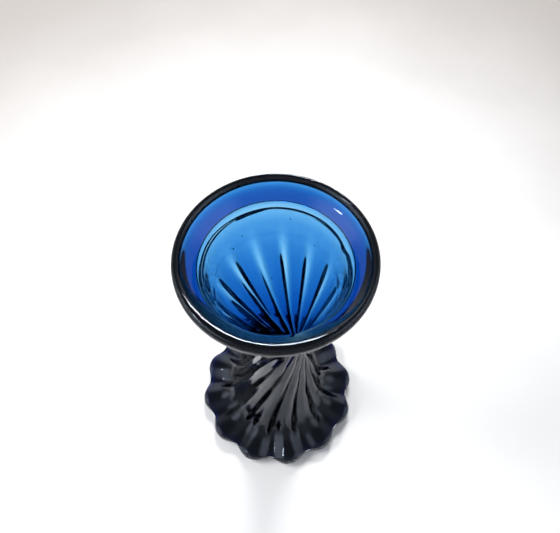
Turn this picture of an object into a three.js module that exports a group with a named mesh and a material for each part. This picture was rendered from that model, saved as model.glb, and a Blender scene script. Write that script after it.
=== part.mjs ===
// A hand-worked glass candlestick. A solid lobed foot and twisted stem carry a hollow ribbed bowl, which
// narrows to a candle socket at the waist. Above it come a flared collar, the edge folded back under it,
// and a thick rolled lip. Millimetres, +Z up. The origin is the centre of the resting face.
import * as THREE from "three";

// Driving dimensions
const HEIGHT = 194.5; // resting face to the top of the lip
const RIM_RADIUS = 45; // outside of the lip
const FOOT_RADIUS = 51.7; // mean radius of the lobed edge
const WAIST_RADIUS = 15.3; // mean outside radius at the narrowest height
const WAIST_HEIGHT = 97;
const SOCKET_RADIUS = 12; // takes a taper candle 22 mm across
const SOCKET_FLOOR = 80;
const BOWL_WALL = 3.3; // at the waist
const FUNNEL_WALL = 2.2;
const RIBS = 12;
const STEPS_PER_RIB = 6;
const LOBE_DEPTH = 2.1; // half the difference between a lobe's tip and a notch
const LOBE_BREADTH = 0.35; // above 0 makes the foot's lobes broad and the notches between them narrow
const STEM_RIB_DEPTH = 1.2;
const WAIST_RIB_DEPTH = 0.8;
const BOWL_RIB_DEPTH = 1.25;
const FIRST_LOBE = -21.2; // degrees from +X to the tip of a lobe at the foot's edge
const TWIST_TO_WAIST = 78; // degrees, counter-clockwise going up
const TWIST_ABOVE_WAIST = 48; // what the bowl's twist tends to as it dies away
const TWIST_GATHERS = 1.9; // the power of height by which the twist grows up to the waist
const GAP = 0.3; // between neighbouring pieces

// Heights where one worked piece of glass ends and the next begins
const FOOT_TOP = 26;
const STEM_TOP = SOCKET_FLOOR - 6;
const BOWL_TOP = HEIGHT - 10.5;

// The underside: a flat ring round a shallow polished hollow
const HOLLOW_DEPTH = 2.6;
const RING_INSIDE = 24;
const RING_OUTSIDE = 46.6;

// The collar slopes up and out from the bowl. The fold lies under it and ends in an uneven free edge.
const COLLAR_OUTSIDE = 39.9;
const COLLAR_TOP = HEIGHT - 3.5;
const COLLAR_THICK = 2.6; // upright, at its outside
const FOLD_THICK = 2.4; // upright, at its outside
const FOLD_REACH = 3.7; // from the top of the bowl down to the free edge
const FOLD_UNEVEN = 0.5;

const LIP_HALF_WIDTH = 2.3;
const LIP_HALF_HEIGHT = 3.2;
const LIP_STEPS = 12;

const AROUND = RIBS * STEPS_PER_RIB;
const { clamp, degToRad, lerp, smoothstep, mapLinear } = THREE.MathUtils;
const at = (radius, height) => new THREE.Vector2(radius, height);

// The outside of the glass from the foot's edge up to the collar, as mean radius and height
const outside = new THREE.SplineCurve([
  at(FOOT_RADIUS - 1.3, 8.6),
  at(44.5, 9.6),
  at(38.3, 11.4),
  at(32.6, 16),
  at(27.6, FOOT_TOP),
  at(22.3, 42),
  at(18, 64),
  at(15.9, 84),
  at(WAIST_RADIUS, WAIST_HEIGHT),
  at(16.3, 109),
  at(19.6, 124),
  at(24.2, 141),
  at(28.8, 158),
  at(32.2, 173),
  at(33.6, 180),
  at(35, BOWL_TOP),
]).getPoints(45);

function outsideRadius(height) {
  const above = Math.max(1, outside.findIndex((p) => p.y >= height - 1e-6));
  const [low, high] = [outside[above - 1], outside[above]];
  return mapLinear(height, low.y, high.y, low.x, high.x);
}

function outsideBetween(from, to) {
  const inner = outside.filter((p) => p.y > from + 1 && p.y < to - 1);
  return [at(outsideRadius(from), from), ...inner, at(outsideRadius(to), to)];
}

// How far the ribs have turned: slowly over the wide foot, fastest round the waist, then ever more slowly
function twist(height) {
  const below = TWIST_TO_WAIST * Math.pow(clamp(height / WAIST_HEIGHT, 0, 1), TWIST_GATHERS);
  const rateAtWaist = (TWIST_TO_WAIST * TWIST_GATHERS) / WAIST_HEIGHT;
  const climbed = Math.max(height - WAIST_HEIGHT, 0);
  const above = TWIST_ABOVE_WAIST * (1 - Math.exp((-climbed * rateAtWaist) / TWIST_ABOVE_WAIST));
  return degToRad(FIRST_LOBE + below + above);
}

// Half height of the ribs: lobes at the foot, shallowest at the waist, then deeper until they fade out
function ribDepth(height) {
  const foot = lerp(LOBE_DEPTH, STEM_RIB_DEPTH, smoothstep(height, 12, STEM_TOP));
  const stem = lerp(foot, WAIST_RIB_DEPTH, smoothstep(height, STEM_TOP, WAIST_HEIGHT));
  const bowl = lerp(stem, BOWL_RIB_DEPTH, smoothstep(height, 100, 145));
  return bowl * (1 - smoothstep(height, 143, 174));
}

function ribWave(angle, height) {
  const breadth = LOBE_BREADTH * (1 - smoothstep(height, 14, 40));
  return Math.cos(RIBS * angle) + breadth * Math.sin(RIBS * angle) ** 2;
}

// Unit vector out of the glass at one point of a profile that runs from the bottom up its outside.
// Above the foot's spread the ribs stand out level, so that the ends of the pieces stay flat.
function outOfProfile(profile, index) {
  const last = profile.length - 1;
  const before = profile[Math.max(index - 1, 0)];
  const after = profile[Math.min(index + 1, last)];
  const out = at(after.y - before.y, before.x - after.x).normalize();
  const level = smoothstep(profile[index].y, FOOT_TOP - 12, FOOT_TOP - 3);
  out.y = Math.max(0, out.y) * (1 - level);
  return out.lerp(at(1, 0), level);
}

// Turns a profile that starts and ends on the axis, and raises twisted ribs along its ribbed points.
function turnedWithRibs(start, ribbed, end) {
  const profile = [...start, ...ribbed, ...end];
  const geometry = new THREE.LatheGeometry(profile, AROUND).rotateX(Math.PI / 2);
  const place = geometry.attributes.position;
  const up = new THREE.Vector3(0, 0, 1);
  for (let i = 0; i < place.count; i++) {
    const index = i % profile.length;
    const point = new THREE.Vector3().fromBufferAttribute(place, i);
    const angle = Math.atan2(point.y, point.x);
    const isRibbed = index >= start.length && index < start.length + ribbed.length;
    const depth = isRibbed ? ribDepth(point.z) * ribWave(angle, point.z) : 0;
    const out = outOfProfile(profile, index).multiplyScalar(depth);
    const turn = twist(point.z);
    point.add(new THREE.Vector3(out.x * Math.cos(angle), out.x * Math.sin(angle), out.y));
    point.applyAxisAngle(up, turn);
    place.setXYZ(i, point.x, point.y, point.z);
  }
  return geometry;
}

function turnedRing(profile) {
  return new THREE.LatheGeometry([...profile, profile[0]], AROUND).rotateX(Math.PI / 2);
}

function footGeometry() {
  const hollow = [
    at(0, HOLLOW_DEPTH),
    at(RING_INSIDE * 0.6, HOLLOW_DEPTH),
    at(RING_INSIDE * 0.9, HOLLOW_DEPTH * 0.4),
    at(RING_INSIDE, 0),
    at(RING_OUTSIDE, 0),
  ];
  const edge = [
    at(FOOT_RADIUS - 1.9, 1),
    at(FOOT_RADIUS - 0.1, 3.4),
    at(FOOT_RADIUS, 5.8),
    at(FOOT_RADIUS - 0.5, 7.6),
  ];
  return turnedWithRibs(hollow, [...edge, ...outsideBetween(8.6, FOOT_TOP)], [at(0, FOOT_TOP)]);
}

function stemGeometry() {
  const bottom = FOOT_TOP + GAP;
  return turnedWithRibs([at(0, bottom)], outsideBetween(bottom, STEM_TOP), [at(0, STEM_TOP)]);
}

// The inside of the bowl follows the outside at the wall's thickness, down to the round, straight socket.
function insideRadius(height) {
  if (height <= WAIST_HEIGHT) return SOCKET_RADIUS;
  const wall = lerp(BOWL_WALL, FUNNEL_WALL, smoothstep(height, 100, 150));
  const slope = (outsideRadius(height) - outsideRadius(height - 2)) / 2;
  return Math.max(SOCKET_RADIUS, outsideRadius(height) - wall * Math.hypot(1, slope));
}

function bowlGeometry() {
  const bottom = STEM_TOP + GAP;
  const steps = 14;
  const fillet = 2;
  const inside = Array.from({ length: steps + 1 }, (_, i) => {
    const height = lerp(BOWL_TOP, SOCKET_FLOOR + fillet, i / steps);
    return at(insideRadius(height), height);
  });
  const floor = [
    at(SOCKET_RADIUS - fillet * 0.3, SOCKET_FLOOR + fillet * 0.3),
    at(SOCKET_RADIUS - fillet, SOCKET_FLOOR),
    at(0, SOCKET_FLOOR),
  ];
  return turnedWithRibs([at(0, bottom)], outsideBetween(bottom, BOWL_TOP), [...inside, ...floor]);
}

function collarGeometry() {
  const inside = insideRadius(BOWL_TOP);
  const bottom = BOWL_TOP + GAP;
  return turnedRing([
    at(outsideRadius(BOWL_TOP) + 0.4, bottom),
    at(outsideRadius(BOWL_TOP) + 1.1, bottom + 0.6),
    at(COLLAR_OUTSIDE, COLLAR_TOP - COLLAR_THICK),
    at(COLLAR_OUTSIDE, COLLAR_TOP),
    at(inside + 4.9, COLLAR_TOP - 1.7),
    at(inside + 1.6, bottom + 1.7),
    at(inside, bottom),
  ]);
}

// The free edge of the fold wanders up and down round the outside of the bowl.
function foldGeometry() {
  const top = COLLAR_TOP - COLLAR_THICK - 1.4 * GAP;
  const bend = at(outsideRadius(BOWL_TOP) + 1.2, BOWL_TOP + GAP + 0.2);
  const edge = at(outsideRadius(BOWL_TOP - FOLD_REACH) + 0.7, BOWL_TOP - FOLD_REACH);
  const geometry = turnedRing([
    at(edge.x + 1.5, edge.y),
    at(bend.x + 1.7, bend.y - 0.9),
    at(COLLAR_OUTSIDE, top - FOLD_THICK),
    at(COLLAR_OUTSIDE, top),
    bend,
    edge,
  ]);
  const place = geometry.attributes.position;
  for (let i = 0; i < place.count; i++) {
    if (place.getZ(i) > edge.y + 0.1) continue;
    const angle = Math.atan2(place.getY(i), place.getX(i));
    const wander = Math.sin(2 * angle + 1) + 0.6 * Math.sin(5 * angle) + 0.4 * Math.sin(11 * angle);
    place.setZ(i, place.getZ(i) + FOLD_UNEVEN * wander);
  }
  return geometry;
}

function lipGeometry() {
  const middle = at(RIM_RADIUS - LIP_HALF_WIDTH, HEIGHT - LIP_HALF_HEIGHT);
  return turnedRing(
    Array.from({ length: LIP_STEPS }, (_, i) => {
      const angle = (2 * Math.PI * i) / LIP_STEPS - Math.PI / 2;
      return at(
        middle.x + LIP_HALF_WIDTH * Math.cos(angle),
        middle.y + LIP_HALF_HEIGHT * Math.sin(angle),
      );
    }),
  );
}

function glassPiece(name, geometry, color) {
  const material = new THREE.MeshStandardMaterial({ color, roughness: 0.05, metalness: 0 });
  const mesh = new THREE.Mesh(geometry, material);
  mesh.name = name;
  return mesh;
}

const DARK_GLASS = 0x14172a;
const BLUE_GLASS = 0x3f8fe0;
const DEEP_BLUE_GLASS = 0x1f4fae;

const candlestick = new THREE.Group();
candlestick.add(
  glassPiece("foot", footGeometry(), DARK_GLASS),
  glassPiece("stem", stemGeometry(), DARK_GLASS),
  glassPiece("bowl", bowlGeometry(), BLUE_GLASS),
  glassPiece("collar", collarGeometry(), DEEP_BLUE_GLASS),
  glassPiece("folded_edge", foldGeometry(), DEEP_BLUE_GLASS),
  glassPiece("lip", lipGeometry(), DARK_GLASS),
);

export default candlestick;
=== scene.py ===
"""A cobalt blue glass candlestick with a lobed foot, swirled ribs and a folded rim, on a pale table."""

import math

import bmesh
import bpy
import numpy as np
from mathutils import Matrix, Vector


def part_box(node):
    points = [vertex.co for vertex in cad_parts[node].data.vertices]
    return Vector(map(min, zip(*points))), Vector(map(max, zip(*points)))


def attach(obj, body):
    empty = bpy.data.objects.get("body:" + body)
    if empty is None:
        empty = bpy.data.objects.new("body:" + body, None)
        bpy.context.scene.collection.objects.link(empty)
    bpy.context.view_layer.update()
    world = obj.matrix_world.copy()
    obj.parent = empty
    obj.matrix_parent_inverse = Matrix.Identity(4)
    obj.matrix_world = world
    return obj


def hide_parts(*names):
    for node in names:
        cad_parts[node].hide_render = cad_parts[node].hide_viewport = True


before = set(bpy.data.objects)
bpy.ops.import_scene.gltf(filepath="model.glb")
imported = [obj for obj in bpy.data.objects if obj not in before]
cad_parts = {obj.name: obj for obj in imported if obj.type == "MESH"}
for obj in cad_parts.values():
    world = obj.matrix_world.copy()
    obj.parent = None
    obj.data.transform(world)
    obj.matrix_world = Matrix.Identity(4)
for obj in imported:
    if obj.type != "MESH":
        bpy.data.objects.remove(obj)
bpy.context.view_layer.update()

MM = 0.001

# Sizes are in millimetres. HEIGHT and RIM_RADIUS are read from the CAD lip.
LIP_HIGH = np.array(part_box("lip")[1]) / MM
HEIGHT = LIP_HIGH[2]
RIM_RADIUS = LIP_HIGH[0]
BEAD_RISE = 3.2
RIM = HEIGHT - BEAD_RISE  # height of the lip's widest circle

# The ribs' course round the axis, with their twist in degrees
RIBS = 12
FIRST_LOBE = math.radians(-21.2)
WAIST_HEIGHT = 97.0
TWIST_TO_WAIST = 78.0
TWIST_ABOVE_WAIST = 48.0
TWIST_GATHERS = 1.9

# The ribs' half height, and how narrow the grooves between them are, where 1 is a plain wave
LOBE_DEPTH, STEM_DEPTH, WAIST_DEPTH, BOWL_DEPTH = 2.1, 1.2, 0.55, 0.85
LOBE_GROOVE, STEM_GROOVE, BOWL_GROOVE = 1.3, 1.8, 3.0
LOBES_SHRINK = (11, 24)
RIBS_FADE = (143, 174)
FACING_TURNS_LEVEL = (14, 23)

# How uneven the ribs are: every other groove is deeper in the bowl, and five swells go round the foot
BOWL_UNEVEN = 0.12
BOWL_UNEVEN_TURN = math.radians(15)
FOOT_UNEVEN = 0.06
FOOT_SWELLS = 5

# The bowl's wall
WAIST_WALL, FUNNEL_WALL, CRESCENT_WALL = 3.3, 1.9, 1.4
RIPPLE, RIPPLE_HEIGHT, RIPPLE_BREADTH = 0.15, 166, 1.3

# The socket in the waist
SOCKET_RADIUS = 12
SOCKET_FLOOR = 80.0
BOWL_INSIDE_FROM = 86

# The underside
HOLLOW_RADIUS = 24
HOLLOW_FLAT = 10
HOLLOW_DEPTH = 2.6
RING = (26, 45)

# Outlines, as radius and height
OUTSIDE = [
    (50.4, 8.6),
    (44.5, 9.6),
    (38.3, 11.4),
    (32.6, 16.0),
    (27.6, 26),
    (22.3, 42),
    (18, 64),
    (15.9, 84),
    (15.3, 97),
    (16.3, 109),
    (19.6, 124),
    (24.2, 141),
    (28.8, 158),
    (32.2, 173),
    (33.6, 180.0),
]
FOOT_EDGE = [(46.6, 0.05), (49.8, 1.0), (51.6, 3.4), (51.7, 5.8), (51.2, 7.6), OUTSIDE[0]]
SOCKET = [(SOCKET_RADIUS, 84), (SOCKET_RADIUS, 81.4), (11, 80.2), (9.6, SOCKET_FLOOR)]
SOCKET_FLOOR_FROM = 8

# Outlines near the rim, as radius and height over RIM
CRESCENT = [(33.7, -9.4), (34.5, -7.7), (35.4, -6.8)]
FOLD = [(35.4, -6.8), (36.1, -7.8), (36.8, -8.2), (37.8, -7.6), (39.9, -5.1), (41.9, -1.8)]
UNDER_LIP = [(41.9, -1.8), (42.8, -0.8), (42.6, 0.6), (41.6, 0.9)]
COLLAR = [(41.6, 0.9), (37.6, -1.9), (34.3, -5.4), (33.3, -7.2), (32.6, -9.2)]

# The lip's outline over RIM, from its outside up and inwards, plain and where it spreads down the collar on
# the near side, its dark glass there being painted shade for the black foot seen through the collar
LIP_SECTION = [
    (45.0, 0.0),
    (44.6, 1.9),
    (43.4, 3.15),
    (42.2, 2.9),
    (41.1, 1.6),
    (41.0, 0.4),
    (41.9, -0.4),
    (43.0, -1.4),
    (43.8, -2.0),
    (44.6, -1.5),
]
NEAR_SIDE_SHADE_LIP_SECTION = [
    (45.0, 0.0),
    (44.6, 1.9),
    (43.4, 3.15),
    (41.9, 3.15),
    (40.2, 2.2),
    (34.0, -5.7),
    (37.0, -5.4),
    (41.6, -3.6),
    (43.6, -3.4),
    (44.6, -2.0),
]
# Where that painted shade reaches round the rim: centred on the near side, fading out 75 degrees either way
LIP_SHADE_SPREADS_TO = math.radians(-101)
LIP_SHADE_SPREAD_END = math.cos(math.radians(75))

# The free edge of the fold, drawn as a near-black line of painted shade: its place round the rim, how far it
# sinks past EDGE_DROP, its half thickness
FOLD_EDGE = [
    (-20, 0.2, 1.5),
    (5, 0.3, 1.2),
    (14, 0.4, 0.9),
    (20, 3.6, 0.7),
    (26, 0.0, 0.5),
    (45, -0.6, 0.45),
    (70, 0.1, 0.5),
    (95, 0.6, 0.5),
    (108, 2.0, 0.8),
    (122, 2.4, 1.0),
    (131, 0.6, 0.5),
    (150, -0.6, 0.4),
    (178, 0.0, 0.8),
    (215, 0.3, 1.4),
    (250, 0.0, 1.4),
    (300, 0.0, 1.4),
]
EDGE_DROP = 10.2
EDGE_RADIUS = 33.9
EDGE_OFF_CENTRE = 0.4

# The specks: how many, their heights and sizes, and how far they are drawn out upwards
SPECKS = 34
SPECK_HEIGHTS = (112, 178)
SPECK_SIZES = (0.18, 0.4)
SPECK_STRETCH = (1, 2.2)

# The mesh: columns round the axis, steps round the lip and the edge, and steps between spline points
AROUND = 360
LIP_ROUND = 48
EDGE_ROUND = 16
FINE_STEPS = 60

# The glass
COBALT = (0.03, 0.56, 0.83, 1)
BODY_DENSITY = 1490
LIP_DENSITY = 9000
# Near-black glass for the fold's edge line, where it is painted shade, and for the specks
SHADE_LINE_AND_SPECK_DENSITY = 30000


def smoothstep(x, low, high):
    t = np.clip((np.asarray(x, float) - low) / (high - low), 0, 1)
    return t * t * (3 - 2 * t)


def evenly(line, count, closed=False):
    """Points spaced evenly along a line. A closed one leaves out the last, which is the first again."""
    along = np.concatenate([[0], np.cumsum(np.hypot(*np.diff(line, axis=0).T))])
    even = np.linspace(0, along[-1], count, endpoint=not closed)
    return np.stack([np.interp(even, along, line[:, k]) for k in (0, 1)], -1)


def spline(points, count):
    """Points evenly spaced along a smooth curve through the given ones."""
    points = np.array(points, float)
    padded = np.vstack([2 * points[0] - points[1], points, 2 * points[-1] - points[-2]])
    fine = []
    for p0, p1, p2, p3 in zip(padded, padded[1:], padded[2:], padded[3:]):
        for t in np.linspace(0, 1, FINE_STEPS, endpoint=False):
            linear = (p2 - p0) * t
            square = (2 * p0 - 5 * p1 + 4 * p2 - p3) * t**2
            cube = (3 * p1 - p0 - 3 * p2 + p3) * t**3
            fine.append(0.5 * (2 * p1 + linear + square + cube))
    return evenly(np.array(fine + [points[-1]]), count)


def closed_spline(points, count):
    """The same for a closed outline, which starts at its first point."""
    looped = [points[-1]] + list(points) + [points[0], points[1]]
    fine = spline(looped, FINE_STEPS * len(points))
    from_first = np.hypot(*(fine - np.array(points[0])).T)
    half = len(fine) // 2
    start = np.argmin(from_first[:half])
    finish = half + np.argmin(from_first[half:])
    return evenly(fine[start : finish + 1], count, closed=True)


def over_rim(points):
    return [(radius, RIM + up) for radius, up in points]


def right_of(line):
    """Unit normals on the right of a line's course, which is out of the glass along its outline."""
    tangent = np.gradient(line, axis=0)
    normal = np.stack([tangent[:, 1], -tangent[:, 0]], -1)
    return normal / (np.linalg.norm(normal, axis=1)[:, None] + 1e-12)


def turn_points(radius, up, angle):
    """Points in metres from radii and heights, one column for each angle."""
    return np.stack([radius * np.cos(angle), radius * np.sin(angle), up], -1) * MM


def full_turn(count):
    return np.linspace(0, 2 * np.pi, count, endpoint=False)


def twist(height):
    """How far the ribs have turned by a height: slowly over the foot, fastest at the waist, then settling."""
    below = TWIST_TO_WAIST * np.clip(height / WAIST_HEIGHT, 0, 1) ** TWIST_GATHERS
    rate = TWIST_TO_WAIST * TWIST_GATHERS / WAIST_HEIGHT
    climbed = np.maximum(height - WAIST_HEIGHT, 0)
    above = TWIST_ABOVE_WAIST * (1 - np.exp(-climbed * rate / TWIST_ABOVE_WAIST))
    return np.radians(below + above)


def wall(height):
    """Thickness of the bowl's glass: stout at the waist, thin up the funnel, with one slight ripple."""
    thick = WAIST_WALL + (FUNNEL_WALL - WAIST_WALL) * smoothstep(height, 100, 150)
    thick = thick + (CRESCENT_WALL - FUNNEL_WALL) * smoothstep(height, 172, 181)
    return thick + RIPPLE * np.exp(-(((height - RIPPLE_HEIGHT) / RIPPLE_BREADTH) ** 2))


def rib_depth(height):
    """Half height of the ribs: lobes at the foot, shallowest at the waist, deeper until they fade out."""
    depth = LOBE_DEPTH + (STEM_DEPTH - LOBE_DEPTH) * smoothstep(height, *LOBES_SHRINK)
    depth = depth + (WAIST_DEPTH - STEM_DEPTH) * smoothstep(height, LOBES_SHRINK[1], WAIST_HEIGHT)
    depth = depth + (BOWL_DEPTH - WAIST_DEPTH) * smoothstep(height, WAIST_HEIGHT, RIBS_FADE[0])
    return depth * (1 - smoothstep(height, *RIBS_FADE))


def groove_power(height):
    """How narrow the grooves between the ribs are: 1 is a plain wave."""
    power = LOBE_GROOVE + (STEM_GROOVE - LOBE_GROOVE) * smoothstep(height, 12, 40)
    return power + (BOWL_GROOVE - STEM_GROOVE) * smoothstep(height, 80, 115)


def bowl_inside(outside):
    """The inside of the bowl, from the rim down to the waist: the outside moved in by the wall."""
    down = outside[::-1]
    down = down[down[:, 1] > BOWL_INSIDE_FROM]
    inside = down + wall(down[:, 1])[:, None] * right_of(down)
    in_bowl = inside[:, 1] > WAIST_HEIGHT
    inside[:, 0] = np.where(in_bowl, np.maximum(inside[:, 0], SOCKET_RADIUS), SOCKET_RADIUS)
    return inside


def glass_profile():
    """The glass's mean outline, and where it has ribs.

    It runs from the underside's centre, round the outside and over the rim, to the middle of the
    socket's floor.
    """
    hollow = [
        (r, HOLLOW_DEPTH * (1 - smoothstep(r, HOLLOW_FLAT, HOLLOW_RADIUS)))
        for r in np.linspace(0, HOLLOW_RADIUS, 14)
    ]
    ring = [(r, 0.0) for r in np.linspace(*RING, 8)]
    edge = spline(FOOT_EDGE, 20)[:-1]
    outside = spline(OUTSIDE, 160)
    crescent = spline([OUTSIDE[-1]] + over_rim(CRESCENT), 16)[1:]
    fold = spline(over_rim(FOLD), 40)[1:]
    under_lip = spline(over_rim(UNDER_LIP), 10)[1:-1]
    collar = spline(over_rim(COLLAR), 40)
    inside = bowl_inside(outside)
    join = spline([over_rim(COLLAR)[-1], tuple(inside[0])], 4)[1:-1]
    socket = spline(SOCKET, 10)
    floor = [(r, SOCKET_FLOOR) for r in np.linspace(SOCKET_FLOOR_FROM, 0, 6)]
    rows = [hollow, ring, edge, outside, crescent, fold, under_lip, collar, join, inside, socket, floor]
    profile = np.vstack([np.array(row) for row in rows])
    ribbed = np.concatenate([np.full(len(row), row is edge or row is outside, float) for row in rows])
    return profile, ribbed


def glass_points():
    """The body of glass as columns of points, with its ribs.

    On the foot the ribs stand square to its surface. Above it they stand level.
    """
    profile, ribbed = glass_profile()
    height = profile[:, 1]
    out = right_of(profile)
    level = smoothstep(height, *FACING_TURNS_LEVEL)
    out[:, 1] = np.maximum(out[:, 1], 0) * (1 - level)
    out[:, 0] = out[:, 0] * (1 - level) + level
    depth = (ribbed * rib_depth(height))[:, None]
    angle = full_turn(AROUND)
    valley = (1 - np.cos(RIBS * angle)) / 2
    wave = 1 - 2 * valley[None] ** groove_power(height)[:, None]
    in_bowl = smoothstep(height, WAIST_HEIGHT, 130)[:, None]
    alternate = BOWL_UNEVEN * np.cos(RIBS / 2 * (angle + BOWL_UNEVEN_TURN))[None]
    swells = FOOT_UNEVEN * np.sin(FOOT_SWELLS * angle + 1)[None]
    uneven = 1 + in_bowl * alternate + (1 - in_bowl) * swells
    radius = profile[:, :1] + out[:, :1] * depth * uneven * wave
    up = height[:, None] + out[:, 1:] * depth * uneven * wave
    return turn_points(radius, up, angle[None] + FIRST_LOBE + twist(height)[:, None])


def lip_points():
    """The rolled bead round the rim. On the near side its dark glass spreads down the collar, as painted
    shade for the black foot seen through the collar.
    """
    angle = full_turn(AROUND)
    spread = (np.cos(angle - LIP_SHADE_SPREADS_TO) - LIP_SHADE_SPREAD_END) / (1 - LIP_SHADE_SPREAD_END)
    plain = np.array(LIP_SECTION)
    broad = np.array(NEAR_SIDE_SHADE_LIP_SECTION)
    columns = []
    for share in smoothstep(spread, 0, 1):
        columns.append(closed_spline(plain + (broad - plain) * share, LIP_ROUND))
    section = np.array(columns).transpose(1, 0, 2)
    return turn_points(section[..., 0], RIM + section[..., 1], angle)


def round_the_rim(angle, column):
    """A column of FOLD_EDGE, blurred into a smooth line round the whole turn."""
    at = np.radians([row[0] for row in FOLD_EDGE])
    values = np.array([row[column] for row in FOLD_EDGE])
    raw = np.interp(angle, at, values, period=2 * np.pi)
    blur = np.exp(-(np.linspace(-2, 2, 13) ** 2))
    side = len(blur) // 2
    looped = np.concatenate([raw[-side:], raw, raw[:side]])
    return np.convolve(looped, blur / blur.sum(), "valid")


def edge_points():
    """The free edge of the fold: an uneven thread of glass that wanders round the bowl's outside. Its
    near-black glass is painted shade for the dark crevice under the fold's edge.
    """
    angle = full_turn(AROUND)
    section = full_turn(EDGE_ROUND)[:, None]
    half = round_the_rim(angle, 2)
    radius = EDGE_RADIUS + 0.6 * half + half * np.cos(section)
    up = RIM - (EDGE_DROP + round_the_rim(angle, 1)) + 0.9 * half * np.sin(section)
    return turn_points(radius, up, angle) - np.array((EDGE_OFF_CENTRE, 0, 0)) * MM


def linked(name, data):
    """A new object in the scene, made of the data."""
    thing = bpy.data.objects.new(name, data)
    bpy.context.scene.collection.objects.link(thing)
    return thing


def smooth_piece(name, vertices, faces):
    mesh = bpy.data.meshes.new(name)
    mesh.from_pydata(vertices.tolist(), [], faces)
    mesh.validate()
    mesh.shade_smooth()
    return linked(name, mesh)


def ring_piece(name, points):
    """A closed ring through columns of points: steps round the section x columns x 3."""
    steps, columns, _ = points.shape
    grid = np.arange(steps * columns).reshape(steps, columns)
    beside = np.roll(grid, -1, axis=1)
    quads = np.stack([grid, beside, np.roll(beside, -1, axis=0), np.roll(grid, -1, axis=0)], -1)
    return smooth_piece(name, points.reshape(-1, 3), quads.reshape(-1, 4).tolist())


def capped_piece(name, points):
    """A closed surface through rows of points, whose first and last rows are one point on the axis."""
    rows, columns, _ = points.shape
    vertices = np.vstack([points[0, :1], points[1:-1].reshape(-1, 3), points[-1, :1]])
    grid = 1 + np.arange((rows - 2) * columns).reshape(rows - 2, columns)
    beside = np.roll(grid, -1, axis=1)
    quads = np.stack([grid[:-1], beside[:-1], beside[1:], grid[1:]], -1).reshape(-1, 4).tolist()
    first = [(0, b, a) for a, b in zip(grid[0].tolist(), beside[0].tolist())]
    end = len(vertices) - 1
    last = [(end, a, b) for a, b in zip(grid[-1].tolist(), beside[-1].tolist())]
    return smooth_piece(name, vertices, quads + first + last)


def speck_piece(name):
    """Small specks and bubbles caught in the bowl's wall."""
    rng = np.random.default_rng(7)
    outside = np.array(OUTSIDE)
    specks = bmesh.new()
    for _ in range(SPECKS):
        height = rng.uniform(*SPECK_HEIGHTS)
        turn = rng.uniform(0, 2 * np.pi)
        radius = np.interp(height, outside[:, 1], outside[:, 0]) - 0.6 * wall(height)
        size = rng.uniform(*SPECK_SIZES) * MM
        spot = Vector((radius * math.cos(turn), radius * math.sin(turn), height)) * MM
        stretch = Matrix.Diagonal((1, 1, rng.uniform(*SPECK_STRETCH), 1))
        placed = Matrix.Translation(spot) @ stretch
        bmesh.ops.create_icosphere(specks, subdivisions=2, radius=size, matrix=placed)
    mesh = bpy.data.meshes.new(name)
    specks.to_mesh(mesh)
    specks.free()
    mesh.shade_smooth()
    return linked(name, mesh)


def add_node(tree, kind, **values):
    """A new node, with the values of its sockets given by their names, in lower case and underscores."""
    node = tree.nodes.new("ShaderNode" + kind)
    for name, value in values.items():
        node.inputs[name.replace("_", " ").title()].default_value = value
    return node


def cobalt_glass(name, density):
    """Blue glass that darkens with its thickness, a little smeared and a little wavy."""
    material = bpy.data.materials.new(name)
    material.use_nodes = True
    tree = material.node_tree
    link = tree.links.new
    shader = tree.nodes["Principled BSDF"]
    shader.inputs["Base Color"].default_value = (1, 1, 1, 1)
    shader.inputs["Transmission Weight"].default_value = 1
    shader.inputs["IOR"].default_value = 1.52
    shader.inputs["Specular Tint"].default_value = (0.7, 0.8, 1, 1)
    place = add_node(tree, "TexCoord")
    smears = add_node(tree, "TexNoise", scale=45, detail=4)
    link(place.outputs["Object"], smears.inputs["Vector"])
    polish = add_node(tree, "MapRange", from_min=0.5, from_max=0.8, to_max=0.03)
    link(smears.outputs["Fac"], polish.inputs["Value"])
    link(polish.outputs["Result"], shader.inputs["Roughness"])
    waves = add_node(tree, "TexNoise", scale=75, detail=1)
    link(place.outputs["Object"], waves.inputs["Vector"])
    bump = add_node(tree, "Bump", strength=0.06, distance=MM)
    link(waves.outputs["Fac"], bump.inputs["Height"])
    link(bump.outputs["Normal"], shader.inputs["Normal"])
    absorb = add_node(tree, "VolumeAbsorption", color=COBALT, density=density)
    link(absorb.outputs["Volume"], tree.nodes["Material Output"].inputs["Volume"])
    return material


glass = capped_piece("candlestick_glass", glass_points())
glass.data.materials.append(cobalt_glass("cobalt_glass", BODY_DENSITY))
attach(glass, "root")
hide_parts("foot", "stem", "bowl", "collar")

lip = ring_piece("lip_bead", lip_points())
lip.data.materials.append(cobalt_glass("dense_cobalt_glass", LIP_DENSITY))
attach(lip, "root")
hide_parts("lip")

# The fold's edge in near-black glass: painted shade for the crevice under it
thread = ring_piece("folded_edge_shade_line", edge_points())
thread.data.materials.append(cobalt_glass("edge_shade_cobalt_glass", SHADE_LINE_AND_SPECK_DENSITY))
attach(thread, "root")
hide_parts("folded_edge")

specks = speck_piece("seeds")
specks.data.materials.append(cobalt_glass("speck_cobalt_glass", SHADE_LINE_AND_SPECK_DENSITY))
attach(specks, "root")

# The table, in metres, with painted light: a white pool round the foot that falls off to a warm grey beyond
TABLE_HALF = 3.0
TABLE_GAP = 0.0002
TABLE_PAINTED_LIT = (0.86, 0.86, 0.86, 1)
TABLE_PAINTED_DIM = (0.36, 0.33, 0.31, 1)
TABLE_PAINTED_FALLOFF = (0.12, 0.62)


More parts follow.
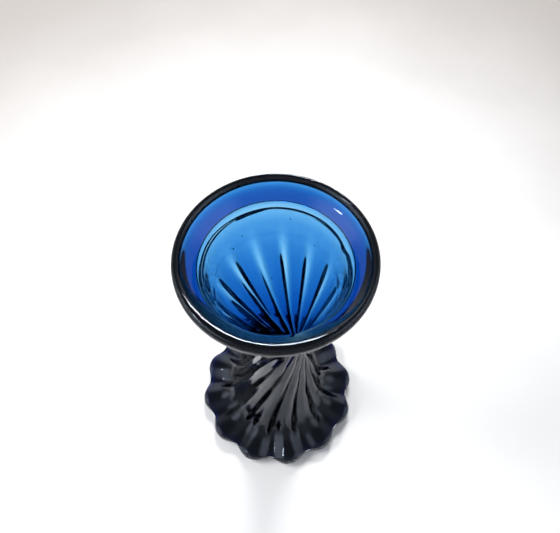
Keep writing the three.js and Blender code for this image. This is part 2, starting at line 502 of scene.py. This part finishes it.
def table_material():
    """Matt and pale, its tone easing from white to grey with the distance from the foot: a painted pool of
    light and its falloff, broken up by a little grain.
    """
    material = bpy.data.materials.new("pale_table")
    material.use_nodes = True
    tree = material.node_tree
    link = tree.links.new
    shader = tree.nodes["Principled BSDF"]
    place = add_node(tree, "TexCoord")
    far = add_node(tree, "VectorMath")
    far.operation = "LENGTH"
    link(place.outputs["Object"], far.inputs[0])
    grain = add_node(tree, "TexNoise", scale=9, detail=6)
    link(place.outputs["Object"], grain.inputs["Vector"])
    grain_and_painted_falloff = add_node(tree, "Math")
    grain_and_painted_falloff.operation = "MULTIPLY_ADD"
    grain_and_painted_falloff.inputs[1].default_value = 0.08
    link(grain.outputs["Fac"], grain_and_painted_falloff.inputs[0])
    link(far.outputs["Value"], grain_and_painted_falloff.inputs[2])
    # Painted light: white near the foot, dimming to warm grey further out, in place of the lamps' falloff
    tone = add_node(tree, "ValToRGB")
    tone.color_ramp.interpolation = "EASE"
    near, away = tone.color_ramp.elements
    near.position, away.position = TABLE_PAINTED_FALLOFF
    near.color = TABLE_PAINTED_LIT
    away.color = TABLE_PAINTED_DIM
    link(grain_and_painted_falloff.outputs["Value"], tone.inputs["Fac"])
    link(tone.outputs["Color"], shader.inputs["Base Color"])
    shader.inputs["Roughness"].default_value = 0.6
    return material


def table():
    corners = [(-1, -1), (1, -1), (1, 1), (-1, 1)]
    mesh = bpy.data.meshes.new("table")
    mesh.from_pydata([(x * TABLE_HALF, y * TABLE_HALF, 0) for x, y in corners], [], [(0, 1, 2, 3)])
    mesh.materials.append(table_material())
    piece = linked("table", mesh)
    piece.location.z = -TABLE_GAP


table()

# How strongly the room glows: all round, and what each wall adds. The ceiling takes this share away.
ROOM_GLOW = 0.46
BACK_GLOW = 0.9
LEFT_GLOW = 1.6
RIGHT_GLOW = 1.0
CEILING_SHADE = 0.5
ROOM_TINT = (0.93, 0.96, 1.0, 1)


def room_math(tree, operation, *values):
    """A math node's output, from numbers and other nodes' outputs."""
    node = add_node(tree, "Math")
    node.operation = operation
    for socket, value in zip(node.inputs, values):
        if isinstance(value, (int, float)):
            socket.default_value = value
        else:
            tree.links.new(value, socket)
    return node.outputs[0]


def towards(tree, direction, low, high):
    """1 where the room lies in a direction, falling to 0 away from it."""
    coords = add_node(tree, "TexCoord")
    dot = add_node(tree, "VectorMath")
    dot.operation = "DOT_PRODUCT"
    tree.links.new(coords.outputs["Generated"], dot.inputs[0])
    dot.inputs[1].default_value = Vector(direction).normalized()
    step = add_node(tree, "MapRange", from_min=low, from_max=high)
    step.interpolation_type = "SMOOTHSTEP"
    tree.links.new(dot.outputs["Value"], step.inputs["Value"])
    return step.outputs[0]


def room():
    """A soft room that is darker overhead and brighter low at the back and at the two sides."""
    world = bpy.data.worlds.new("room")
    bpy.context.scene.world = world
    world.use_nodes = True
    tree = world.node_tree
    ceiling = towards(tree, (0, 0.1, 1), 0.45, 0.9)
    back_wall = towards(tree, (0, 1, 0.35), 0.72, 0.98)
    left_wall = towards(tree, (-1, -0.25, 0.5), 0.8, 1.0)
    right_wall = towards(tree, (1, -0.25, 0.5), 0.8, 1.0)
    glow = room_math(tree, "MULTIPLY_ADD", back_wall, BACK_GLOW, ROOM_GLOW)
    glow = room_math(tree, "MULTIPLY_ADD", left_wall, LEFT_GLOW, glow)
    glow = room_math(tree, "MULTIPLY_ADD", right_wall, RIGHT_GLOW, glow)
    overhead = room_math(tree, "MULTIPLY_ADD", ceiling, -CEILING_SHADE, 1.0)
    background = tree.nodes["Background"]
    background.inputs["Color"].default_value = ROOM_TINT
    tree.links.new(room_math(tree, "MULTIPLY", glow, overhead), background.inputs["Strength"])


room()
bpy.context.scene.view_settings.view_transform = "Standard"

# Where the lights point, in metres
FOOT_CENTRE = (0, 0, 0)
NEAR_THE_RIM = (0, 0, 0.19)


def area(name, place, target, size, power):
    """A rectangular light, with its place and size in metres and its power in watts."""
    light = bpy.data.lights.new(name, "AREA")
    light.shape = "RECTANGLE"
    light.size, light.size_y = size
    light.energy = power
    lamp = linked(name, light)
    lamp.location = place
    lamp.rotation_euler = (Vector(target) - Vector(place)).to_track_quat("-Z", "Y").to_euler()
    return lamp


# The softbox lights the table and throws the shadow, but the glass doesn't show it
softbox = area("softbox", place=(-0.95, 0.15, 0.95), target=FOOT_CENTRE, size=(0.5, 0.5), power=11)
softbox.visible_glossy = False
softbox.visible_transmission = False
area("strip", place=(0.15, 1.5, 1.5), target=NEAR_THE_RIM, size=(0.6, 0.45), power=33)
area("lamp", place=(-1.3, -0.3, 1.3), target=NEAR_THE_RIM, size=(0.25, 0.12), power=3)

# The camera: its distance and shifts in rim radii, its lens and sensor in millimetres
CAMERA_DISTANCE = 5.07
CAMERA_PITCH = math.radians(60.1)
CAMERA_RIGHT = 0.04
CAMERA_UP = -0.09
LENS = 34.0714
SENSOR = 36


def steep_camera():
    """A camera that looks steeply down at the rim from the near side."""
    data = bpy.data.cameras.new("camera")
    data.sensor_fit = "HORIZONTAL"
    data.sensor_width = SENSOR
    data.lens = LENS
    data.clip_start = 0.01
    camera = linked("camera", data)
    forward = Vector((0, math.cos(CAMERA_PITCH), -math.sin(CAMERA_PITCH)))
    up = Vector((0, math.sin(CAMERA_PITCH), math.cos(CAMERA_PITCH)))
    right = Vector((1, 0, 0))
    shift = right * CAMERA_RIGHT + up * CAMERA_UP - forward * CAMERA_DISTANCE
    place = Vector((0, 0, RIM * MM)) + shift * RIM_RADIUS * MM
    turned = Matrix((right, up, -forward)).transposed().to_4x4()
    camera.matrix_world = Matrix.Translation(place) @ turned
    bpy.context.scene.camera = camera


steep_camera()

cycles = bpy.context.scene.cycles
cycles.max_bounces = 32
cycles.transmission_bounces = 32
cycles.glossy_bounces = 12
cycles.diffuse_bounces = 4
